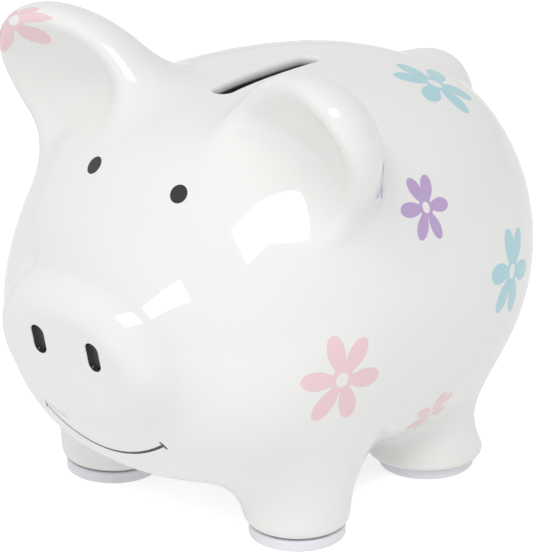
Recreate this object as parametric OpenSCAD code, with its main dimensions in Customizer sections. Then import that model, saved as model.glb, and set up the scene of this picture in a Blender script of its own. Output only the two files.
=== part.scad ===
// Piggy bank: a hollow slip-cast earthenware money box with luted ears and tail, fired-on
// decals, a pull-out stopper under the belly and four stick-on foot pads.
// Millimetres. +Z is up, the snout points to -Y and +X is the pig's left side.
// The origin is on the ground, below the middle of the whole object.

/* [Trunk] */
// Half sizes of the egg-shaped barrel
barrel_radius = [56.5, 60, 57.5]; // [56:0.5:60]
// Middle of the barrel
barrel_centre = [0, 19.5, 58.5]; // [-1:0.5:60]
// Height of the flattened back above the slot
back_height = 116.5; // [115:0.5:118]
// Height of the flattened belly
belly_height = 8; // [7:0.5:9]
// Half sizes of the head
head_radius = [50, 37.5, 42]; // [36:0.5:52]
// Middle of the head
head_centre = [0, -22, 66]; // [-24:0.5:68]
// Half sizes of the chin and cheeks
jaw_radius = [45, 27, 30.5]; // [26:0.5:46]
// Middle of the chin and cheeks
jaw_centre = [0, -38, 46]; // [-40:0.5:48]
// Thickness of the cast wall
wall = 3.2; // [3:0.1:3.6]

/* [Snout] */
// Middle of the snout's front face
snout_centre = [0, -76.5, 55.5]; // [-78:0.5:57]
// Half width and half height of the front face
snout_radius = [26.5, 21.5]; // [20:0.5:28]
// How much the half width and half height grow towards the head, a millimetre
snout_flare = [0.057, 0.03]; // [0:0.01:0.1]
// How far the front face looks down, degrees
snout_tilt = 13.5; // [10:0.5:16]
// Rounding of the snout's rim
snout_round = 9; // [7:0.5:10]
// Place of the left nostril on the front face: to the side and up
nostril_place = [9.2, 4]; // [3:0.1:10.5]
// Width and height of a nostril
nostril_size = [4, 8.2]; // [3.6:0.1:9]
// Depth of a nostril
nostril_depth = 1.6; // [1:0.1:2]

/* [Legs] */
// Middle of the left front leg
front_leg = [32, -25]; // [-26:0.5:33]
// Middle of the left rear leg
rear_leg = [29.5, 31]; // [29:0.5:32]
// Radius of a front leg and of a rear leg at the foot
leg_radius = [13.5, 16]; // [13:0.5:17]
// How much wider each kind of leg is at its top
leg_spread = [1, -6.5]; // [-7:0.5:2]

/* [Ears and tail] */
// Middle of the left ear
ear_centre = [34.5, -26.5, 103]; // [-28:0.5:104]
// Half width, half thickness and half length of an ear
ear_radius = [21.5, 16.5, 31.5]; // [16:0.5:32]
// Turn of an ear: pitch, roll and yaw, degrees
ear_turn = [28.5, 40.5, 11.5]; // [10:0.5:42]
// Middle of the hollow in an ear, in the ear's own directions
bowl_centre = [-2.5, -25.5, 12.5]; // [-27:0.5:14]
// Half sizes of the hollow in an ear
bowl_radius = [32, 26, 29]; // [25:0.5:33]
// Middle of the tail bump
tail_centre = [0, 67.5, 88.5]; // [66:0.5:90]
// Radius of the tail bump
tail_radius = 11; // [10:0.5:12]

/* [Coin slot and stopper] */
// Length of the coin slot
slot_length = 38; // [34:1:42]
// Width of the coin slot
slot_width = 5; // [4.8:0.1:6]
// Radius of the stopper's hole
bore_radius = 14; // [13:0.5:15]
// Place of the stopper's hole along the belly
bore_y = 4; // [0:1:8]
// Height of the flat seat that the stopper's flange closes against
seat_height = 11.8; // [11.6:0.1:12.2]
// Gap around the stopper's sealing ribs
stopper_gap = 0.05; // [0.02:0.01:0.08]

/* [Foot pads] */
// Radius of a foot pad
pad_radius = 12.5; // [12:0.5:13]
// Thickness of a foot pad
pad_height = 3; // [2.5:0.1:3.5]
// Thickness of the adhesive disc on a pad
glue_height = 0.3; // [0.2:0.1:0.4]

/* [Decals] */
// Height of a fired-on decal above the clay
decal_rise = 0.15; // [0.1:0.05:0.3]
// How deep a decal is fused into the glaze
decal_sink = 0.3; // [0.2:0.05:0.4]
// Radius of an eye
eye_radius = 2.3; // [2:0.1:2.6]
// The left eye's distance from the middle, and its height
eye_place = [14.4, 96.4]; // [14:0.1:97]
// Half width of the smile, its lowest height and its rise to the ends
smile_size = [19.6, 26.9, 6.8]; // [6:0.1:28]

/* [Hidden] */
foot_height = pad_height + glue_height;
foot_round = 2.6;         // rounding under a foot
leg_reach = 26;           // height over which a leg's spread builds up
leg_blend = 12;           // fillets
ear_blend = 10;
tail_blend = 8;
skin = 0.3;               // how far a luted piece's hidden root stays under the trunk's skin
flange_radius = bore_radius + 3;
flange_height = 2.2;
plug_height = 6.5;
white = [0.95, 0.95, 0.93];
black = [0.05, 0.05, 0.06];
pink = [0.93, 0.72, 0.78];
purple = [0.70, 0.60, 0.80];
blue = [0.62, 0.82, 0.88];

// Flower decals: node, a point near its middle, turn in degrees, radius, colour.
FLOWERS = [
    ["flower_left_flank", [54.5, -34.5, 52], 10, 11.8, pink],
    ["flower_left_shoulder", [53, 0, 87.5], 12, 8.8, purple],
    ["flower_left_rump", [25.5, 37.5, 104], 3, 12, blue],
    ["flower_left_rear", [55, 33.5, 60.5], 17, 11.5, blue],
    ["flower_left_belly", [48.5, 9.2, 26.6], 25, 8.6, pink],
    ["flower_left_ear", [60, -12.5, 104], 20, 9, purple],
    ["flower_right_flank", [-55, -30, 60], -15, 11.5, blue],
    ["flower_right_shoulder", [-50, 4, 92], 8, 9, pink],
    ["flower_right_rump", [-24, 46, 101], 30, 10.5, purple],
    ["flower_right_rear", [-54, 38, 56], -8, 11.8, pink],
    ["flower_right_belly", [-49, 8, 29], -20, 9, purple],
    ["flower_right_ear", [-50, -39.4, 125.5], 35, 12, pink],
    ["flower_back", [8, 79, 48], 12, 11, purple]];

LEGS = [["front_left", 0, 1], ["front_right", 0, -1], ["rear_left", 1, 1], ["rear_right", 1, -1]];

// ---------------------------------------------------------------- shape as a distance field
function soft_min(a, b, k) = min(a, b) - pow(max(k - abs(a - b), 0) / k, 2) * k / 4;
function soft_max(a, b, k) = -soft_min(-a, -b, k);

// About how far p is outside an ellipsoid at the origin.
function ellipsoid(p, r) =
    let (a = [p.x / r.x, p.y / r.y, p.z / r.z],
         b = [a.x / r.x, a.y / r.y, a.z / r.z],
         k = norm(a))
    k * (k - 1) / max(norm(b), 1e-6);

// A solid that is within both a side and an end, with the edge between them rounded.
function rounded_end(side, end, r) =
    min(max(side, end) + r, 0) + norm([max(side + r, 0), max(end + r, 0)]) - r;

function tilt_x(p, a) = [p.x, p.y * cos(a) + p.z * sin(a), p.z * cos(a) - p.y * sin(a)];
function tilt_y(p, a) = [p.x * cos(a) - p.z * sin(a), p.y, p.x * sin(a) + p.z * cos(a)];
function tilt_z(p, a) = [p.x * cos(a) + p.y * sin(a), p.y * cos(a) - p.x * sin(a), p.z];

function trunk(p) =
    let (barrel = ellipsoid(p - barrel_centre, barrel_radius),
         head = ellipsoid(p - head_centre, head_radius),
         jaw = ellipsoid(p - jaw_centre, jaw_radius),
         egg = soft_min(soft_min(barrel, head, 40), jaw, 25),
         back = p.z - back_height + 0.06 * (p.y + 3.5))
    soft_max(soft_max(egg, back, 22), belly_height - p.z, 18);

function snout(p) =
    let (q = tilt_x(p - snout_centre, snout_tilt),
         grow = max(-5, min(q.y, 45)),
         side = ellipsoid([q.x, 0, q.z], [snout_radius.x + snout_flare.x * grow, 1,
                                          snout_radius.y + snout_flare.y * grow]))
    rounded_end(side, max(-q.y, q.y - 45), snout_round);

function leg(p, place, r, spread) =
    let (t = max(-0.1, min((p.z - pad_height) / leg_reach, 1)),
         side = norm([p.x - place.x, p.y - place.y]) - r - spread * (1 - pow(1 - t, 2)))
    rounded_end(side, max(foot_height - p.z, p.z - 60), foot_round);

// Trunk and snout. They are the same on the left and the right.
function face(p) = soft_min(trunk([abs(p.x), p.y, p.z]), snout(p), 9);

// The cast body: trunk, snout and four legs.
function cast_body(p) =
    let (q = [abs(p.x), p.y, p.z],
         front = soft_min(face(q), leg(q, front_leg, leg_radius[0], leg_spread[0]), leg_blend))
    max(soft_min(front, leg(q, rear_leg, leg_radius[1], leg_spread[1]), leg_blend), foot_height - p.z);

// The left ear alone: an ellipsoid with a hollow scooped out of its front.
function ear(p) =
    let (q = tilt_x(tilt_y(tilt_z(p - ear_centre, ear_turn[2]), ear_turn[1]), ear_turn[0]))
    soft_max(ellipsoid(q, ear_radius), -ellipsoid(q - bowl_centre, bowl_radius), 5);

function tail_bump(p) = norm(p - tail_centre) - tail_radius;

// The outside of the finished ceramic, with its ears and tail.
function whole(p) =
    soft_min(soft_min(cast_body(p), ear([abs(p.x), p.y, p.z]), ear_blend), tail_bump(p), tail_blend);

// A luted piece and its fillet, with a ball of the trunk that stays just under the skin.
function luted(p, piece, blend, root, reach) =
    max(soft_min(piece, trunk(p) + skin, blend), norm(p - root) - reach);

// ---------------------------------------------------------------- distance field to polyhedron
CORNERS = [for (i = [0, 1], j = [0, 1], k = [0, 1]) [i, j, k]];
EDGES = [for (a = [0:7], d = [1, 2, 4]) if (floor(a / d) % 2 == 0) [a, a + d]];

function mean(v, i = 0, s = [0, 0, 0]) = i == len(v) ? s / len(v) : mean(v, i + 1, s + v[i]);

function gradient(f, p) =
    let (e = 0.4)
    [f([p.x + e, p.y, p.z]) - f([p.x - e, p.y, p.z]),
     f([p.x, p.y + e, p.z]) - f([p.x, p.y - e, p.z]),
     f([p.x, p.y, p.z + e]) - f([p.x, p.y, p.z - e])] / (2 * e);

// p moved along the gradient until f is zero.
function onto(f, p, steps = 2) =
    steps == 0 ? p : let (g = gradient(f, p)) onto(f, p - g * f(p) / (g * g), steps - 1);

// The middle of the places where f changes sign on a cell's edges, or undef.
function cell_point(c) =
    min(c) >= 0 || max(c) < 0 ? undef :
    mean([for (e = EDGES) if ((c[e[0]] < 0) != (c[e[1]] < 0))
        let (t = c[e[0]] / (c[e[0]] - c[e[1]])) CORNERS[e[0]] * (1 - t) + CORNERS[e[1]] * t]);

// Two triangles for four corners, cut along the shorter diagonal.
function split(p, q) =
    norm(p[q[0]] - p[q[2]]) < norm(p[q[1]] - p[q[3]])
    ? [[q[0], q[1], q[2]], [q[0], q[2], q[3]]]
    : [[q[1], q[2], q[3]], [q[1], q[3], q[0]]];

// [points, faces] of the surface f = 0, which lies in the box from near to far, from a grid of
// cells that starts a cell outside that box: one point in each cell that the surface crosses,
// and four cells around each crossed edge make a face.
function polygonised(f, near, far, cell) =
    let (low = near - [cell, cell, cell],
         n = [for (i = [0:2]) ceil((far[i] - low[i]) / cell) + 1],
         v = [for (i = [0:n.x]) [for (j = [0:n.y]) [for (k = [0:n.z]) f(low + cell * [i, j, k])]]],
         found = [for (i = [0:n.x - 1], j = [0:n.y - 1], k = [0:n.z - 1])
             let (c = cell_point([for (q = CORNERS) v[i + q.x][j + q.y][k + q.z]]))
             is_undef(c) ? c : low + cell * ([i, j, k] + c)],
         order = [for (i = 0, s = 0; i < len(found); s = s + (is_undef(found[i]) ? 0 : 1), i = i + 1) s],
         points = [for (p = found) if (!is_undef(p)) onto(f, p)],
         id = function (c) order[(c.x * n.y + c.y) * n.z + c.z],
         faces = [for (i = [1:n.x - 1], j = [1:n.y - 1], k = [1:n.z - 1])
             let (c = [i, j, k], inside = v[i][j][k] < 0)
             for (a = [0:2])
                 let (d = [for (m = [0:2]) m == a ? 1 : 0],
                      next = v[i + d.x][j + d.y][k + d.z] < 0)
                 if (inside != next)
                     let (u = [for (m = [0:2]) m == (a + 1) % 3 ? 1 : 0],
                          w = [for (m = [0:2]) m == (a + 2) % 3 ? 1 : 0],
                          q = [id(c), id(c - w), id(c - u - w), id(c - u)])
                     each split(points, inside ? q : [q[3], q[2], q[1], q[0]])])
    [points, faces];

module solid(f, near, far, cell) {
    s = polygonised(f, near, far, cell);
    polyhedron(points = s[0], faces = s[1], convexity = 6);
}

// ---------------------------------------------------------------- ceramic
module cast_outside() solid(function (p) cast_body(p), [-60, -82, 2], [60, 82, 115], 5.2);

// The hollow runs through the trunk and into the snout. The legs are solid.
module cast_inside() solid(function (p) face(p) + wall, [-58, -80, 5], [58, 80, 113], 6.2);

// A slot's outline along Y: a rectangle with round ends.
module stadium(width, height) {
    square([width, height - width], center = true);
    for (end = [-1, 1]) translate([0, end * (height - width) / 2]) circle(d = width, $fn = 32);
}

// A stadium on the snout's front face, between two depths.
module on_snout(side, deep, shallow)
    translate(snout_centre) rotate([snout_tilt, 0, 0])
        translate([side * nostril_place.x, deep, nostril_place.y]) rotate([90, 0, 0])
            linear_extrude(deep - shallow) stadium(nostril_size.x, nostril_size.y);

// The wall is thicker in a ring around the stopper's hole, to leave room for its seat.
module body_shell() color(white) difference() {
    cast_outside();
    difference() {
        cast_inside();
        translate([0, bore_y, 0]) cylinder(r = flange_radius + 3, h = seat_height + 3.4, $fn = 96);
    }
    translate([0, 0, 90]) linear_extrude(40) stadium(slot_width, slot_length);
    translate([0, bore_y, 0]) cylinder(r = bore_radius, h = 30, $fn = 96);
    translate([0, bore_y, 0]) cylinder(r = flange_radius + 0.6, h = seat_height, $fn = 96);
    for (side = [-1, 1]) on_snout(side, nostril_depth, -5);
}

module ear_blank() solid(function (p) luted(p, ear(p), ear_blend, [34, -24, 96], 34), [0, -58, 62], [68, 10, 130], 3);

module ear_left() color(white) difference() {
    ear_blank();
    cast_outside();
}

module ear_right() color(white) difference() {
    mirror([1, 0, 0]) ear_blank();
    cast_outside();
}

module tail() color(white) difference() {
    solid(function (p) luted(p, tail_bump(p), tail_blend, [0, 66, 86], 20), [-20, 46, 66], [20, 86, 106], 2.9);
    cast_outside();
}

// ---------------------------------------------------------------- fired-on decals
// Two directions in the surface at p, the second as near to +Z as it can be, and the normal.
function directions(f, p) =
    let (g = gradient(f, p), n = g / norm(g),
         up = abs(n.z) > 0.98 ? [0, -1, 0] : [0, 0, 1],
         v = up - n * (n * up), w = v / norm(v))
    [cross(w, n), w, n];

// A thin solid on the surface: a fan over an outline that is given in the surface's directions.
module patch(place, outline) {
    f = function (p) whole(p);
    middle = onto(f, place, 5);
    d = directions(f, middle);
    centre = mean([for (q = outline) [q.x, q.y, 0]]);
    flat = [for (q = concat([centre], outline)) middle + d[0] * q.x + d[1] * q.y];
    on = [for (p = flat) let (q = onto(f, p, 3)) [q, directions(f, q)[2]]];
    n = len(outline);
    next = function (i) i % n + 1;
    polyhedron(
        points = concat([for (q = on) q[0] + q[1] * decal_rise], [for (q = on) q[0] - q[1] * decal_sink]),
        faces = [for (i = [1:n]) each [
            [0, i, next(i)],
            [n + 1, n + 1 + next(i), n + 1 + i],
            [i, n + 1 + i, n + 1 + next(i)],
            [i, n + 1 + next(i), next(i)]]]);
}

function turned(q, a) = [q.x * cos(a) + q.y * sin(a), q.y * cos(a) - q.x * sin(a)];

function oval(rx, ry, n) = [for (i = [0:n - 1]) [rx * sin(i * 360 / n), ry * cos(i * 360 / n)]];

// A petal that points along +Y, fatter towards its tip, and stays in its own sixth of the flower.
function petal(r) =
    [for (i = [0:11])
        let (a = i * 30, t = (1 - cos(a)) / 2, y = r * (0.24 + 0.76 * t), x = r * 0.25 * sin(a) * (0.8 + 0.2 * t))
        [max(-y * 0.36, min(x, y * 0.36)), y]];

// Six petals in two pairs with one to each side, around a bare middle.
module flower(place, turn, r, tint) color(tint)
    for (a = [-23, 23, 88, 155, 208, 268])
        patch(place, [for (q = petal(r)) turned(q, a + turn)]);

module eye(side) color(black)
    patch([side * eye_place.x, -50, eye_place.y], oval(eye_radius, eye_radius * 1.1, 12));

module nostril(side) color(black) on_snout(side, nostril_depth + decal_sink, nostril_depth - 0.7);

// A line drawn on the surface through the points of a path, from one half width to another.
module stroke(path, start, end) {
    f = function (p) whole(p);
    on = [for (p = path) onto(f, p, 4)];
    n = len(path) - 1;
    ring = [for (i = [0:n])
        let (along = on[min(i + 1, n)] - on[max(i - 1, 0)],
             up = directions(f, on[i])[2],
             c = cross(up, along / norm(along)),
             half = start + (end - start) * i / n)
        each [on[i] - c * half - up * decal_sink, on[i] + c * half - up * decal_sink,
              on[i] + c * half + up * decal_rise, on[i] - c * half + up * decal_rise]];
    polyhedron(points = ring, faces = concat(
        [[3, 2, 1, 0], [for (k = [0:3]) 4 * n + k]],
        [for (i = [0:n - 1], k = [0:3]) let (a = 4 * i + k, b = 4 * i + (k + 1) % 4)
            each [[a, b, b + 4], [a, b + 4, a + 4]]]));
}

// A line across the chin that curves up to a short tick across each end.
module smile() color(black) {
    w = smile_size[0];
    z = smile_size[1];
    rise = smile_size[2];
    end = [w, -62.5, z + rise];
    stroke([for (i = [-20:20]) let (t = i / 20) [w * t, -62.5, z + rise * t * t]], 0.35, 0.55);
    for (side = [-1, 1])
        stroke([for (i = [-1, 0, 1]) [side * (end.x + 0.4 - 0.9 * i), end.y, end.z + 0.3 + 1.5 * i]], 0.35, 0.35);
}

// ---------------------------------------------------------------- stopper and foot pads
// One soft moulding: a flange with a finger bar below it and a hollow plug with two ribs.
module stopper() color([0.85, 0.87, 0.88]) translate([0, bore_y, seat_height]) {
    rib = bore_radius - stopper_gap;
    core = bore_radius - 0.8;
    rotate_extrude($fn = 96) polygon([
        [0, -flange_height], [flange_radius - 0.8, -flange_height], [flange_radius, -1.2],
        [flange_radius, 0], [core, 0], [rib, 1], [rib, 1.6], [core, 2.4], [core, 3.4], [rib, 4.2],
        [rib, 4.8], [core, 5.4], [core - 0.6, plug_height], [core - 2, plug_height],
        [core - 2, 0.4], [0, 0.4]]);
    translate([0, 0, -flange_height - 2.4]) linear_extrude(2.4) rotate(90) stadium(3, 16);
}

module foot_pad(kind, side) color([0.90, 0.92, 0.96]) {
    place = kind == 0 ? front_leg : rear_leg;
    corner = 0.6;
    translate([side * place.x, place.y, 0]) rotate_extrude($fn = 96)
        polygon(concat(
            [[0, 0], [0, pad_height]],
            [for (a = [90:-15:0]) [pad_radius - corner + corner * cos(a), pad_height - corner + corner * sin(a)]],
            [for (a = [0:-15:-90]) [pad_radius - corner + corner * cos(a), corner + corner * sin(a)]]));
}

module pad_adhesive(kind, side) color([0.45, 0.38, 0.32]) {
    place = kind == 0 ? front_leg : rear_leg;
    translate([side * place.x, place.y, pad_height])
        cylinder(r = min(leg_radius[kind] - foot_round, pad_radius - 1), h = glue_height, $fn = 96);
}

body_shell();
ear_left();
ear_right();
tail();
stopper();
eye(1);  // eye_left
eye(-1);  // eye_right
nostril(1);  // nostril_left
nostril(-1);  // nostril_right
smile();
for (l = LEGS) foot_pad(l[1], l[2]);
for (l = LEGS) pad_adhesive(l[1], l[2]);
for (f = FLOWERS) flower(f[1], f[2], f[3], f[4]);
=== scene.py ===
import math

import bmesh
import bpy
import numpy as np
from mathutils import Matrix, Vector


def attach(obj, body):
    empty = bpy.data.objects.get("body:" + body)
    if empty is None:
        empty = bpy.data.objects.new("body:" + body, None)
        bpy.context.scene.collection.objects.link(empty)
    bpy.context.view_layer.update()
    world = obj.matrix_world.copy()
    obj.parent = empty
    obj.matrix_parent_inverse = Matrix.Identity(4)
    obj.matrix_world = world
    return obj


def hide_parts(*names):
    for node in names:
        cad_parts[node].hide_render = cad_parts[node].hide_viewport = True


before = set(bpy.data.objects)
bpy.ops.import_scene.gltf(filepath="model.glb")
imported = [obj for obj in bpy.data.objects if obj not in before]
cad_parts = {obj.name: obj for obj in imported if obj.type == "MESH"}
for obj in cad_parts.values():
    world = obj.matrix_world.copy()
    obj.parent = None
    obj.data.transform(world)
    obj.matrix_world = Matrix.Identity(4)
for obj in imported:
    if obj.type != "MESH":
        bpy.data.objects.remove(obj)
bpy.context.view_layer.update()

# ---------------------------------------------------------------- the part's shape, in millimetres
# _C is a centre and _R the radii about it.
BARREL_C, BARREL_R = (0, 19.5, 58.5), (56.5, 60, 57.5)
HEAD_C, HEAD_R = (0, -22, 66), (50, 37.5, 42)
JAW_C, JAW_R = (0, -38, 46), (45, 27, 30.5)
BACK_Z, BACK_Y, BACK_SLOPE = 116.5, -3.5, 0.06
BELLY_Z, WALL = 8.0, 3.2
SNOUT_C, SNOUT_R, SNOUT_LENGTH = (0, -76.5, 55.5), (26.5, 21.5), 45
SNOUT_FLARE, SNOUT_TILT, SNOUT_ROUND = (0.057, 0.03), 13.5, 9.0
FLARE_STARTS = -5  # a little ahead of the snout's face
NOSTRIL = dict(x=9.2, z=4.0, w=3.8, h=7.8, ahead=2, depth=1.6, shift=0.5)
# Each pair of legs: its place, its radius at the foot and how far it spreads higher up.
LEGS = [((32, -25), 13.5, 1.0), ((29.5, 31), 16.0, -6.5)]
LEG_TOP, LEG_SPREADS_OVER = 60, 26
EAR_C, EAR_R, EAR_TURN = (34.5, -26.5, 103), (21.5, 16.5, 31.5), (28.5, 40.5, 11.5)
BOWL_C, BOWL_R = (-2.5, -25.5, 12.5), (32, 26, 29)
TAIL_C, TAIL_R = (0, 67.5, 88.5), 11.0
SLOT_L, SLOT_W, SLOT_FLOOR = 38.0, 5.0, 92
BORE_R, BORE_Y, BORE_TOP = 14.0, 4.0, 30
# The stopper's flange lies on a seat, in a recess with a little room, under a thicker ring.
SEAT_Z, FLANGE_R, FLANGE_ROOM, RING_WIDTH, RING_HEIGHT = 11.8, 17.0, 0.6, 3, 3.4
PAD_R, PAD_H, PAD_ROUND, GLUE_H, FOOT_ROUND = 12.5, 3.0, 0.6, 0.3, 2.6
FOOT_Z = PAD_H + GLUE_H
# How far the fillet between two shapes reaches.
FILLET = dict(head=40, jaw=25, back=22, belly=18, snout=9, leg=12, ear=10, bowl=5, tail=8)
# How soft each edge of the ceramic is.
EDGE = dict(nostril_floor=1.6, nostril_rim=1.0, wall=1.0, ring=0.5, slot=1.8, bore=0.5, seat=0.8)
SIDES = ((1, "left"), (-1, "right"))


def soft_min(a, b, k):
    """The smaller of two distances, with a fillet that reaches k to each side."""
    h = np.maximum(k - np.abs(a - b), 0) / k
    return np.minimum(a, b) - h * h * k / 4


def soft_max(a, b, k):
    return -soft_min(-a, -b, k)


def ellipsoid(p, c, r):
    """About how far p is outside an ellipsoid."""
    q = p - np.asarray(c, float)
    r = np.asarray(r, float)
    k = np.linalg.norm(q / r, axis=-1)
    return k * (k - 1) / np.maximum(np.linalg.norm(q / r**2, axis=-1), 1e-6)


def turn(p, axis, degrees):
    """p seen from directions that are turned about an axis."""
    c, s = math.cos(math.radians(degrees)), math.sin(math.radians(degrees))
    x, y, z = p[..., 0], p[..., 1], p[..., 2]
    if axis == 0:
        return np.stack([x, y * c + z * s, z * c - y * s], -1)
    if axis == 1:
        return np.stack([x * c - z * s, y, x * s + z * c], -1)
    return np.stack([x * c + y * s, y * c - x * s, z], -1)


def rounded_end(side, end, r):
    """A post from the distances to its side and its ends, with edges of radius r."""
    return (
        np.minimum(np.maximum(side, end) + r, 0)
        + np.hypot(np.maximum(side + r, 0), np.maximum(end + r, 0))
        - r
    )


def trunk(p):
    """Barrel, head and jaws, flattened along the back and the belly."""
    egg = soft_min(ellipsoid(p, BARREL_C, BARREL_R), ellipsoid(p, HEAD_C, HEAD_R), FILLET["head"])
    egg = soft_min(egg, ellipsoid(p, JAW_C, JAW_R), FILLET["jaw"])
    back = p[..., 2] - BACK_Z + BACK_SLOPE * (p[..., 1] - BACK_Y)
    return soft_max(soft_max(egg, back, FILLET["back"]), BELLY_Z - p[..., 2], FILLET["belly"])


def snout_space(p):
    """p seen from the middle of the snout's face: across, into the snout and up."""
    return turn(p - np.asarray(SNOUT_C, float), 0, SNOUT_TILT)


def snout(p):
    q = snout_space(p)
    grow = np.clip(q[..., 1], FLARE_STARTS, SNOUT_LENGTH)
    rx, rz = (r + flare * grow for r, flare in zip(SNOUT_R, SNOUT_FLARE))
    k = np.hypot(q[..., 0] / rx, q[..., 2] / rz)
    side = k * (k - 1) / np.maximum(np.hypot(q[..., 0] / rx**2, q[..., 2] / rz**2), 1e-6)
    return rounded_end(side, np.maximum(-q[..., 1], q[..., 1] - SNOUT_LENGTH), SNOUT_ROUND)


def leg(p, place, r, spread):
    """A post whose radius grows by spread from the foot up."""
    z = p[..., 2]
    t = np.clip((z - PAD_H) / LEG_SPREADS_OVER, -0.1, 1)
    side = np.hypot(p[..., 0] - place[0], p[..., 1] - place[1]) - r - spread * (1 - (1 - t) ** 2)
    return rounded_end(side, np.maximum(FOOT_Z - z, z - LEG_TOP), FOOT_ROUND)


def mirrored(p):
    """p with both sides of the pig on its left."""
    q = p.copy()
    q[..., 0] = np.abs(q[..., 0])
    return q


def face(p):
    """Trunk and snout."""
    q = mirrored(p)
    return soft_min(trunk(q), snout(q), FILLET["snout"])


def cast_body(p):
    """Trunk, snout and legs, cut flat at the feet."""
    q = mirrored(p)
    d = face(q)
    for place, r, spread in LEGS:
        d = soft_min(d, leg(q, place, r, spread), FILLET["leg"])
    return np.maximum(d, FOOT_Z - q[..., 2])


def ear(p):
    """The left ear: an ellipsoid with a bowl taken out of its front."""
    q = p - np.asarray(EAR_C, float)
    for axis in (2, 1, 0):
        q = turn(q, axis, EAR_TURN[axis])
    return soft_max(ellipsoid(q, (0, 0, 0), EAR_R), -ellipsoid(q, BOWL_C, BOWL_R), FILLET["bowl"])


def whole(p):
    """The outside of the ceramic, without its nostrils."""
    d = soft_min(cast_body(p), ear(mirrored(p)), FILLET["ear"])
    tail = np.linalg.norm(p - np.asarray(TAIL_C, float), axis=-1) - TAIL_R
    return soft_min(d, tail, FILLET["tail"])


def stadium(x, y, width, height):
    """How far (x, y) is from a slot's outline, with round ends along y."""
    return np.hypot(x, np.maximum(np.abs(y) - (height - width) / 2, 0)) - width / 2


def nostril_outline(q):
    """How far q, in the snout's space, is from the nearer nostril's outline."""
    across = np.abs(q[..., 0] - NOSTRIL["shift"]) - NOSTRIL["x"]
    return stadium(across, q[..., 2] - NOSTRIL["z"], NOSTRIL["w"], NOSTRIL["h"])


def nostril_recess(p):
    """A cutter for both nostrils, from ahead of the snout's face to their depth."""
    q = snout_space(p)
    along = np.abs(q[..., 1] + NOSTRIL["ahead"]) - NOSTRIL["ahead"] - NOSTRIL["depth"]
    return soft_max(nostril_outline(q), along, EDGE["nostril_floor"])


def outside(p):
    """The outside with its nostrils."""
    return soft_max(whole(p), -nostril_recess(p), EDGE["nostril_rim"])


def ceramic(p):
    """The hollow ceramic with the slot and the stopper's hole."""
    x, y, z = p[..., 0], p[..., 1], p[..., 2]
    r = np.hypot(x, y - BORE_Y)
    skin = outside(p)
    ring = np.maximum(r - FLANGE_R - RING_WIDTH, z - SEAT_Z - RING_HEIGHT)
    slot = np.maximum(stadium(x, y, SLOT_W, SLOT_L), SLOT_FLOOR - z)
    bore = np.maximum(r - BORE_R, z - BORE_TOP)
    recess = np.maximum(r - FLANGE_R - FLANGE_ROOM, z - SEAT_Z)
    d = soft_max(skin, -(face(p) + WALL), EDGE["wall"])
    d = soft_min(d, np.maximum(ring, skin), EDGE["ring"])
    d = soft_max(d, -slot, EDGE["slot"])
    d = soft_max(d, -bore, EDGE["bore"])
    return soft_max(d, -recess, EDGE["seat"])


def gradient(f, p, e=0.15):
    g = [f(p + e * axis) - f(p - e * axis) for axis in np.eye(3)]
    return np.stack(g, -1) / (2 * e)


# Limits that keep a point near a crease or far from the surface from jumping away.
LONGEST_STEP, LEAST_SLOPE = 2, 0.05


def onto(f, p, steps=3):
    """Points p moved along the gradient until they lie on f = 0."""
    for _ in range(steps):
        g = gradient(f, p)
        step = f(p) / np.maximum((g * g).sum(-1), LEAST_SLOPE)
        p = p - g * np.clip(step, -LONGEST_STEP, LONGEST_STEP)[..., None]
    return p


def normals(f, p):
    g = gradient(f, p)
    return g / np.linalg.norm(g, axis=-1, keepdims=True)


# ---------------------------------------------------------------- meshes
def surface_net(f, near, far, cell):
    """Points and quads of f = 0 from a grid: one point in each crossed cell."""
    axes = [np.arange(near[i], far[i] + cell, cell) for i in range(3)]
    v = np.stack(
        [f(np.stack(np.meshgrid([x], axes[1], axes[2], indexing="ij"), -1))[0] for x in axes[0]]
    )
    inside = v < 0
    n = [s - 1 for s in v.shape]
    corners = [(i, j, k) for i in (0, 1) for j in (0, 1) for k in (0, 1)]
    part = [inside[i : i + n[0], j : j + n[1], k : k + n[2]] for i, j, k in corners]
    cells = np.argwhere(np.logical_or.reduce(part) & ~np.logical_and.reduce(part))
    value = np.stack([v[tuple((cells + c).T)] for c in corners], -1)
    # A cell's point is the mean of where its twelve edges cross f = 0.
    total, count = np.zeros((len(cells), 3)), np.zeros(len(cells))
    for a, ca in enumerate(corners):
        for b, cb in enumerate(corners):
            if sum(cb) - sum(ca) == 1 and all(q >= p for p, q in zip(ca, cb)):
                cut = (value[:, a] < 0) != (value[:, b] < 0)
                t = np.where(cut, value[:, a] / np.where(cut, value[:, a] - value[:, b], 1), 0)
                place = np.asarray(ca) + t[:, None] * (np.asarray(cb) - np.asarray(ca))
                total += np.where(cut[:, None], place, 0)
                count += cut
    points = np.asarray(near) + cell * (cells + total / count[:, None])
    index = np.full(n, -1)
    index[tuple(cells.T)] = np.arange(len(cells))
    # A grid edge that crosses f = 0 has a quad, from the points of the four cells around it.
    quads = []
    for a in range(3):
        u, w = np.eye(3, dtype=int)[(a + 1) % 3], np.eye(3, dtype=int)[(a + 2) % 3]
        d = np.eye(3, dtype=int)[a]
        lo = inside[: n[0] + 1 - d[0], : n[1] + 1 - d[1], : n[2] + 1 - d[2]]
        hi = inside[d[0] :, d[1] :, d[2] :]
        e = np.argwhere(lo != hi)
        e = e[(e[:, (a + 1) % 3] > 0) & (e[:, (a + 2) % 3] > 0)]
        e = e[(e[:, (a + 1) % 3] < n[(a + 1) % 3]) & (e[:, (a + 2) % 3] < n[(a + 2) % 3])]
        q = np.stack([index[tuple((e - o).T)] for o in (0 * u, u, u + w, w)], -1)
        flip = ~lo[tuple(e.T)]
        q[flip] = q[flip][:, ::-1]
        quads.append(q)
    return points, np.concatenate(quads)


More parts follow.
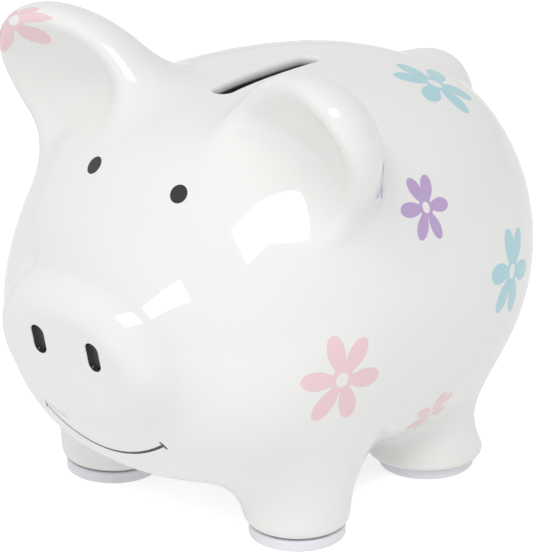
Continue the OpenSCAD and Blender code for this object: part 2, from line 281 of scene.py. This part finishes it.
def relaxed(f, points, faces, steps=3):
    """Points spread evenly over the surface."""
    a = np.concatenate([faces[:, i] for i in range(4)])
    b = np.concatenate([faces[:, (i + 1) % 4] for i in range(4)])
    for _ in range(steps):
        total = np.stack([np.bincount(a, points[b, i], len(points)) for i in range(3)], -1)
        total += np.stack([np.bincount(b, points[a, i], len(points)) for i in range(3)], -1)
        count = np.bincount(a, minlength=len(points)) + np.bincount(b, minlength=len(points))
        points = onto(f, 0.5 * points + 0.5 * total / count[:, None], 2)
    return points


def mesh_object(name, points, faces, vertex_normals=None):
    """A smooth mesh from points in millimetres."""
    mesh = bpy.data.meshes.new(name)
    mesh.from_pydata((np.asarray(points) / 1000).tolist(), [], [list(map(int, f)) for f in faces])
    mesh.update()
    mesh.shade_smooth()
    if vertex_normals is not None:
        mesh.normals_split_custom_set_from_vertices(np.asarray(vertex_normals).tolist())
    ob = bpy.data.objects.new(name, mesh)
    bpy.context.scene.collection.objects.link(ob)
    return ob


def skin_faces(rows, across, closed=True):
    """Quads between rows of points. Closed rows are rings."""
    return [
        (i * across + j, i * across + k, (i + 1) * across + k, (i + 1) * across + j)
        for i in range(rows - 1)
        for j, k in ((j, (j + 1) % across) for j in range(across if closed else across - 1))
    ]


def fan(middle, around):
    """Triangles from the point numbered middle to the first ring."""
    return [(middle, (j + 1) % around, j) for j in range(around)]


def facing_out(points, faces, out):
    """The faces, all turned over if the first looks against the normals in out."""
    a, b, c = (points[i] for i in faces[0][:3])
    over = np.cross(b - a, c - a) @ out[faces[0][0]] < 0
    return [f[::-1] for f in faces] if over else faces


# The slot's rim lies above this height. The nostrils' edge is a little inside their outline.
SLOT_RIM_Z = 103
RIM_INSET, RIM_DEPTH = 0.6, 2


def fine_edges(p):
    """How far p is from an edge that needs smaller faces."""
    x, y, z = p[..., 0], p[..., 1], p[..., 2]
    slot_rim = np.maximum(np.abs(stadium(x, y, SLOT_W, SLOT_L)), SLOT_RIM_Z - z)
    q = snout_space(p)
    nostrils = np.maximum(np.abs(nostril_outline(q) + RIM_INSET), np.abs(q[..., 1]) - RIM_DEPTH)
    return np.minimum(slot_rim, nostrils)


def subdivided(f, points, faces, near_by):
    """Faces near an edge are cut smaller, and their new points put on the surface."""
    bm = bmesh.new()
    verts = [bm.verts.new(p) for p in points]
    for q in faces:
        bm.faces.new([verts[i] for i in q])
    close = fine_edges(np.asarray(points)) < near_by
    bm.verts.index_update()
    edges = [e for e in bm.edges if close[e.verts[0].index] and close[e.verts[1].index]]
    bmesh.ops.subdivide_edges(bm, edges=edges, cuts=1, use_grid_fill=True)
    bm.verts.index_update()
    out = np.array([v.co[:] for v in bm.verts])
    new_faces = [[v.index for v in fc.verts] for fc in bm.faces]
    bm.free()
    moved = fine_edges(out) < near_by + 1
    out[moved] = onto(f, out[moved], 3)
    return out, new_faces


def lathe(name, profile, centre, segments=160):
    """A solid turned about Z from (r, z) points that start and end on the axis."""
    r, z = np.array(profile, float).T
    a = np.linspace(0, 2 * math.pi, segments, endpoint=False)
    ring = [i for i in range(len(r)) if r[i] > 1e-9]
    points = [
        (centre[0] + r[i] * c, centre[1] + r[i] * s, centre[2] + z[i])
        for i in ring
        for c, s in zip(np.cos(a), np.sin(a))
    ]
    faces = skin_faces(len(ring), segments)
    for end, first in ((0, 0), (-1, (len(ring) - 1) * segments)):
        points.append((centre[0], centre[1], centre[2] + z[end]))
        for j in range(segments):
            tri = (len(points) - 1, first + (j + 1) % segments, first + j)
            faces.append(tri if end == 0 else tri[::-1])
    return mesh_object(name, points, faces)


# ---------------------------------------------------------------- materials
def set_inputs(node, color, roughness, **extra):
    """Sets a Principled shader. An underscore in a name stands for a space."""
    node.inputs["Base Color"].default_value = (*color, 1)
    node.inputs["Roughness"].default_value = roughness
    for key, value in extra.items():
        node.inputs[key.replace("_", " ")].default_value = value


def material(name, color, roughness, **extra):
    m = bpy.data.materials.new(name)
    m.use_nodes = True
    set_inputs(m.node_tree.nodes["Principled BSDF"], color, roughness, **extra)
    return m


GLAZE = material("white_glaze", (0.83, 0.83, 0.815), 0.07)
BLACK = material("black_glaze", (0.01, 0.01, 0.011), 0.1, Specular_IOR_Level=0.35)
INK = material("ink", (0.03, 0.03, 0.032), 0.3)
PINK = material("decal_pink", (0.83, 0.60, 0.64), 0.12)
PURPLE = material("decal_purple", (0.50, 0.37, 0.62), 0.12)
BLUE = material("decal_blue", (0.40, 0.66, 0.72), 0.12)
RUBBER = material("pad_rubber", (0.78, 0.79, 0.83), 0.35)
# The adhesive under each pad is a real layer, but its dark brown is painted shade: it stands in for
# the dark line in the gap between each foot and its pad.
GLUE_AND_GAP_SHADE = material("adhesive", (0.10, 0.075, 0.06), 0.7)
VINYL = material("stopper_vinyl", (0.62, 0.64, 0.66), 0.4)


def paint(ob, mat):
    ob.data.materials.clear()
    ob.data.materials.append(mat)


def put(ob, mat, nodes=()):
    """A new piece of the bank, which stands for nodes and is painted with mat."""
    paint(ob, mat)
    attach(ob, "bank")
    if nodes:
        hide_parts(*nodes)


# ---------------------------------------------------------------- ceramic
# A cell's diagonal stays below the wall, or the two sides of the wall run into each other.
CELL = 1.3
NEAR, FAR = (-63, -82, 1), (63, 82, 131)
FINER_NEAR = (3.0, 1.8)
pts, faces = surface_net(ceramic, NEAR, FAR, CELL)
pts = relaxed(ceramic, onto(ceramic, pts, 4), faces)
for near_by in FINER_NEAR:
    pts, faces = subdivided(ceramic, pts, faces, near_by)
body = mesh_object("ceramic", pts, faces, vertex_normals=normals(ceramic, pts))
CAST = ("body_shell", "ear_left", "ear_right", "tail")
put(body, GLAZE, CAST)


# ---------------------------------------------------------------- decals
RISE = 0.05  # how thick a decal is
SHOULDER = 0.85  # how much of that it has one ring in from its rim
LEVEL = 0.98  # a surface whose normal rises more than this counts as level


def directions(p):
    """Across, up and out of the surface at p. On level ground, up is towards the snout."""
    n = normals(outside, np.asarray(p, float)[None])[0]
    up = np.array([0, -1.0, 0]) if abs(n[2]) > LEVEL else np.array([0, 0, 1.0])
    w = up - n * (n @ up)
    w /= np.linalg.norm(w)
    return np.cross(w, n), w, n


def patch(name, place, rings, mat, closed_middle=True):
    """A thin skin over the ceramic that replaces the node of its name. rings is (number of rings,
    number of points, 2): places in the surface's own directions, from the inner ring to the rim."""
    middle = onto(outside, np.asarray(place, float)[None], 6)[0]
    u, w, _ = directions(middle)
    flat = middle + rings[..., :1] * u + rings[..., 1:] * w
    on = onto(outside, flat.reshape(-1, 3), 14)
    out = normals(outside, on)
    count, around = rings.shape[:2]
    lift = np.full((count, around), RISE)
    lift[-1], lift[-2] = 0.0, RISE * SHOULDER
    if not closed_middle:
        lift[0], lift[1] = 0.0, RISE * SHOULDER
    points = on + out * lift.reshape(-1, 1)
    faces = skin_faces(count, around)
    if closed_middle:
        x, y = rings[0].mean(0)
        centre = onto(outside, (middle + x * u + y * w)[None], 6)
        centre_out = normals(outside, centre)
        points = np.vstack([points, centre + centre_out * RISE])
        out = np.vstack([out, centre_out])
        faces += fan(len(points) - 1, around)
    faces = facing_out(points, faces, out)
    put(mesh_object(name, points, faces, vertex_normals=out), mat, (name,))


# The directions of a flower's petals, in degrees clockwise from up.
PETALS = (-23, 23, 88, 155, 208, 268)
# Shares of the flower's radius: where the petals have run together, and the white middle.
WEB, MIDDLE, MIDDLE_STRETCH = 0.27, 0.145, 1.3
# Ranges that each petal's length, half width and turn are drawn from.
PETAL_LENGTH, PETAL_HALF_WIDTH, PETAL_TURN = (0.96, 1.04), (0.2, 0.235), (-3, 3)
WIDEST, TAPER = 0.64, 1.15
# Where a decal's rings lie, from its inner edge to its rim. They crowd at the edges.
FLOWER_RINGS = np.array([0, 0.04, 0.2, 0.4, 0.6, 0.8, 0.93, 0.985, 1.0])
EYE_RINGS = np.array([0.25, 0.5, 0.75, 0.93, 1.0])


def petal_reach(delta, length, half_width):
    """How far a petal reaches in a direction delta degrees away from its own, or 0."""
    # h is the share of the half width at s of the length: a round end and a drawn-out base.
    s = np.linspace(0.05, 1, 200)
    h = np.where(
        s > WIDEST,
        np.sqrt(np.maximum(1 - ((s - WIDEST) / (1 - WIDEST)) ** 2, 0)),
        np.cos(np.pi / 2 * np.clip((WIDEST - s) / WIDEST, 0, 1)) ** TAPER,
    )
    x, y = half_width * h, s * length
    angle, reach = np.degrees(np.arctan2(x, y)), np.hypot(x, y)
    start = int(angle.argmax())
    return np.where(
        np.abs(delta) <= angle[start],
        np.interp(np.abs(delta), angle[start:][::-1], reach[start:][::-1]),
        0,
    )


def flower(name, place, turned, r, mat, seed, shift=(0, 0)):
    """Six petals in one piece around a white middle."""
    rng = np.random.default_rng(seed)
    theta = np.arange(0, 360, 1.5)
    reach = np.full(len(theta), WEB * r)
    for a in PETALS:
        delta = (theta - a - turned - rng.uniform(*PETAL_TURN) + 180) % 360 - 180
        length, width = r * rng.uniform(*PETAL_LENGTH), r * rng.uniform(*PETAL_HALF_WIDTH)
        reach = np.maximum(reach, petal_reach(delta, length, width))
    own = np.radians(theta - turned)
    inner = r * MIDDLE / np.sqrt(np.cos(own) ** 2 / MIDDLE_STRETCH + np.sin(own) ** 2)
    t = FLOWER_RINGS[:, None]
    rho = inner * (1 - t) + reach * t
    a = np.radians(theta)
    rings = np.stack([rho * np.sin(a), rho * np.cos(a)], -1) + shift
    patch(name, place, rings, mat, closed_middle=False)


def oval_rings(rx, ry):
    a = np.linspace(0, 2 * np.pi, 48, endpoint=False)
    t = EYE_RINGS[:, None]
    return np.stack([t * rx * np.sin(a), t * ry * np.cos(a)], -1)


# Each flower: its name, its place, how far it is turned, its radius and its tint.
FLOWERS = [
    ("left_flank", (54.5, -34.5, 52), 10, 12.4, "pink"),
    ("left_shoulder", (53, 0, 87.5), 12, 9, "purple"),
    ("left_rump", (25.5, 37.5, 104), 3, 12.5, "blue"),
    ("left_rear", (55, 33.5, 60.5), 17, 12, "blue"),
    ("left_belly", (48.5, 9.2, 26.6), 25, 8, "pink"),
    ("left_ear", (60, -12.5, 104), 20, 9, "purple"),
    ("right_flank", (-55, -30, 60), -15, 11.5, "blue"),
    ("right_shoulder", (-50, 4, 92), 8, 9, "pink"),
    ("right_rump", (-24, 46, 101), 30, 10.5, "purple"),
    ("right_rear", (-54, 38, 56), -8, 11.8, "pink"),
    ("right_belly", (-49, 8, 29), -20, 9, "purple"),
    ("right_ear", (-51, -39.8, 123.6), 48, 13.8, "pink"),
    ("back", (8, 79, 48), 12, 11, "purple"),
]
TINT = {"pink": PINK, "purple": PURPLE, "blue": BLUE}
SHIFT = {"right_ear": (-0.4, 1.2)}  # how far a flower's middle is from its place
for i, (where, place, turned, r, tint) in enumerate(FLOWERS):
    shift = SHIFT.get(where, (0, 0))
    flower("flower_" + where, place, turned, r, TINT[tint], i + 1, shift)

EYE_X, EYE_Y, EYE_Z, EYE_TILT, EYE_R = 14.4, -50, 96.4, 0.4, (2.3, 2.5)
for side, word in SIDES:
    place = (side * EYE_X, EYE_Y, EYE_Z - EYE_TILT * side)
    patch("eye_" + word, place, oval_rings(*EYE_R), INK)


# The glaze starts this far inside the face, and comes out to the surface in short steps.
GLAZE_START, GLAZE_STEP, GLAZE_STEPS = 0.6, 0.3, 30
GLAZE_RINGS = np.concatenate([np.linspace(0.15, 0.75, 5), np.linspace(0.8, 1.08, 14)])
GLAZE_RIM = (0.03, -0.02)  # the rise of its last two rings, which tuck it in


def nostril_glaze(name, side):
    """Black glaze that lies over a recess and ends a little past its rim."""
    a = np.linspace(0, 2 * np.pi, 72, endpoint=False)
    end = (NOSTRIL["h"] - NOSTRIL["w"]) / 2 * np.sign(np.sin(a)) * (np.abs(np.sin(a)) > 1e-6)
    rim = NOSTRIL["w"] / 2 * np.stack([np.cos(a), np.sin(a)], -1)
    rim[:, 1] += end
    x, z = np.moveaxis(GLAZE_RINGS[:, None, None] * rim, -1, 0)
    x = NOSTRIL["shift"] + side * NOSTRIL["x"] + x
    q = np.stack([x, np.full(x.shape, GLAZE_START), NOSTRIL["z"] + z], -1)
    points = (turn(q, 0, -SNOUT_TILT) + np.asarray(SNOUT_C, float)).reshape(-1, 3)
    # Each point goes along the snout's own direction until it is on the ceramic.
    way = turn(np.array([0, 1.0, 0]), 0, -SNOUT_TILT)
    for _ in range(GLAZE_STEPS):
        points = points + way * np.clip(outside(points), -GLAZE_STEP, GLAZE_STEP)[:, None]
    out = normals(outside, points)
    count, around = x.shape
    lift = np.full((count, around), RISE)
    lift[-2], lift[-1] = GLAZE_RIM
    points = points + out * lift.reshape(-1, 1)
    points = np.vstack([points, points[:around].mean(0)])
    out = np.vstack([out, out[:around].mean(0)])
    faces = skin_faces(count, around) + fan(len(points) - 1, around)
    faces = facing_out(points, faces, out)
    put(mesh_object(name, points, faces), BLACK, (name,))


for side, word in SIDES:
    nostril_glaze("nostril_" + word, side)


# Across a painted line: shares of its half width, and of its thickness there.
LINE_PROFILE = ((-1, 0.0), (-0.7, 0.8), (0, 1.0), (0.7, 0.8), (1, 0.0))


def ribbon(name, path, half, nodes=()):
    """A line painted over the ceramic along path, with a half width at each point."""
    path = onto(outside, np.asarray(path, float), 5)
    across = np.cross(normals(outside, path), np.gradient(path, axis=0))
    across /= np.linalg.norm(across, axis=-1, keepdims=True)
    rows = []
    for s, up in LINE_PROFILE:
        on = onto(outside, path + across * (s * np.asarray(half))[:, None], 3)
        rows.append(on + normals(outside, on) * RISE * up)
    points = np.concatenate(rows)
    out = normals(outside, points)
    faces = facing_out(points, skin_faces(len(rows), len(path), closed=False), out)
    put(mesh_object(name, points, faces, vertex_normals=out), INK, nodes)


SMILE_X, SMILE_Y, SMILE_Z, SMILE_RISE = 19.6, -62.5, 26.9, 6.8
SMILE_HALF, SMILE_SWELL = 0.3, 0.16  # the half width at one end, and what it gains to the other
# A tick's middle, half its run, and its half width at the ends and what it gains between.
TICK_X, TICK_Z, TICK_RUN, TICK_HALF, TICK_SWELL = 19.9, 33.9, (-0.9, 1.5), 0.12, 0.22
t = np.linspace(-1, 1, 81)
line = np.stack([SMILE_X * t, np.full(len(t), SMILE_Y), SMILE_Z + SMILE_RISE * t * t], -1)
ribbon("smile", line, SMILE_HALF + SMILE_SWELL * (t + 1) / 2, ("smile",))
# The short line across each end of the smile.
t = np.linspace(-1, 1, 13)
for side, word in SIDES:
    x, z = side * (TICK_X + TICK_RUN[0] * t), TICK_Z + TICK_RUN[1] * t
    half = TICK_HALF + TICK_SWELL * np.sqrt(1 - (0.96 * t) ** 2)
    ribbon("smile_tick_" + word, np.stack([x, np.full(len(t), SMILE_Y), z], -1), half)


# ---------------------------------------------------------------- pads, adhesive and stopper
def quarter(z, first):
    """A quarter of a round on a pad's rim, about z, from a first angle in degrees."""
    angles = np.radians(np.arange(first, first + 91, 11.25))
    r = PAD_R - PAD_ROUND
    return [(r + PAD_ROUND * math.cos(a), z + PAD_ROUND * math.sin(a)) for a in angles]


PAD_FLAT_R = PAD_R - 2
pad = [(0, 0), (PAD_FLAT_R, 0)] + quarter(PAD_ROUND, -90)
pad += quarter(PAD_H - PAD_ROUND, 0) + [(PAD_FLAT_R, PAD_H), (0, PAD_H)]
for ((x, y), _, _), fore in zip(LEGS, ("front", "rear")):
    for side, word in SIDES:
        name = "foot_pad_" + fore + "_" + word
        put(lathe(name, pad, (side * x, y, 0)), RUBBER, (name,))
        # Each adhesive disc takes the dark painted gap shade between foot and pad.
        paint(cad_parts["pad_adhesive_" + fore + "_" + word], GLUE_AND_GAP_SHADE)
paint(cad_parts["stopper"], VINYL)

# ---------------------------------------------------------------- camera, in metres
AZIMUTH, ELEVATION = math.radians(40.649), math.radians(22.084)
DISTANCE, LENS = 1.15856, 288.21769
AIM, PAN_RIGHT, PAN_UP = Vector((0, 0.0115, 0.078)), -0.007421, -0.024926
right = Vector((math.cos(AZIMUTH), math.sin(AZIMUTH), 0))
level = Vector((-math.sin(AZIMUTH), math.cos(AZIMUTH), 0))
look = level * math.cos(ELEVATION) - Vector((0, 0, math.sin(ELEVATION)))
up = right.cross(look)
cam = bpy.data.objects.new("camera", bpy.data.cameras.new("camera"))
cam.data.lens = LENS
cam.data.clip_start, cam.data.clip_end = 0.1, 20
cam.matrix_world = Matrix((right, up, -look)).transposed().to_4x4()
cam.matrix_world.translation = AIM + PAN_RIGHT * right + PAN_UP * up - DISTANCE * look
bpy.context.scene.collection.objects.link(cam)
bpy.context.scene.camera = cam

# ---------------------------------------------------------------- studio
FLOOR_HALF = 6
corners = [(x * FLOOR_HALF, y * FLOOR_HALF, 0) for x, y in ((-1, -1), (1, -1), (1, 1), (-1, 1))]
floor = bpy.data.objects.new("floor", bpy.data.meshes.new("floor"))
floor.data.from_pydata(corners, [], [(0, 1, 2, 3)])
# The camera sees the floor almost white, and the object sees it a little darker.
matt = dict(Specular_IOR_Level=0.0, Emission_Color=(1, 1, 1, 1))
floor_material = material("floor", (0.9, 0.9, 0.9), 0.9, Emission_Strength=0.45, **matt)
tree = floor_material.node_tree
seen = tree.nodes["Principled BSDF"]
unseen = tree.nodes.new("ShaderNodeBsdfPrincipled")
set_inputs(unseen, (0.6, 0.6, 0.6), 0.5, Emission_Strength=0.38, **matt)
path, mix = tree.nodes.new("ShaderNodeLightPath"), tree.nodes.new("ShaderNodeMixShader")
tree.links.new(path.outputs["Is Camera Ray"], mix.inputs[0])
tree.links.new(unseen.outputs[0], mix.inputs[1])
tree.links.new(seen.outputs[0], mix.inputs[2])
tree.links.new(mix.outputs[0], tree.nodes["Material Output"].inputs["Surface"])
floor.data.materials.append(floor_material)
bpy.context.scene.collection.objects.link(floor)

# A white studio, brighter low down and on the pig's right: a level, plus a slope along each axis.
WORLD_SLOPE, WORLD_LEVEL = (-0.18, 0.02, -0.30), 0.73
world = bpy.data.worlds.new("studio")
bpy.context.scene.world = world
world.use_nodes = True
tree = world.node_tree
kinds = ("TexCoord", "VectorMath", "Math")
coordinate, dot, add = (tree.nodes.new("ShaderNode" + kind) for kind in kinds)
dot.operation = "DOT_PRODUCT"
dot.inputs[1].default_value = WORLD_SLOPE
add.inputs[1].default_value = WORLD_LEVEL
tree.links.new(coordinate.outputs["Generated"], dot.inputs[0])
tree.links.new(dot.outputs["Value"], add.inputs[0])
tree.nodes["Background"].inputs[0].default_value = (1, 1, 1, 1)
tree.links.new(add.outputs[0], tree.nodes["Background"].inputs[1])

LIT = Vector((0, 0, 0.07))  # where the lights point


def softbox(name, azimuth, elevation, distance, width, height, strength, roll=0):
    """A rectangular light that faces the object. Its sizes are seen from a distance of 1."""
    a, e, q = math.radians(azimuth), math.radians(elevation), math.radians(roll)
    way = Vector((math.sin(a) * math.cos(e), -math.cos(a) * math.cos(e), math.sin(e)))
    level = Vector((math.cos(a), math.sin(a), 0))
    rise = way.cross(level)
    light = bpy.data.lights.new(name, "AREA")
    light.shape, light.size, light.size_y = "RECTANGLE", width * distance, height * distance
    light.energy = strength * light.size * light.size_y * math.pi
    ob = bpy.data.objects.new(name, light)
    x = level * math.cos(q) + rise * math.sin(q)
    y = rise * math.cos(q) - level * math.sin(q)
    ob.matrix_world = Matrix((x, y, way)).transposed().to_4x4()
    ob.matrix_world.translation = LIT + way * distance
    bpy.context.scene.collection.objects.link(ob)
    return ob


BOX_DISTANCE = 2.5
softbox("key", 55.5, 50.9, BOX_DISTANCE, width=0.826, height=0.288, strength=5.8, roll=25)
fill = softbox("fill", 0, 52, BOX_DISTANCE, width=0.6, height=0.5, strength=1.8)
fill.visible_glossy = False  # only the key shows as a highlight

scene = bpy.context.scene
scene.view_settings.view_transform = "Standard"
scene.view_settings.look = "None"
scene.view_settings.exposure = 0
scene.view_settings.gamma = 1
scene.cycles.max_bounces = 10
scene.cycles.diffuse_bounces = 6
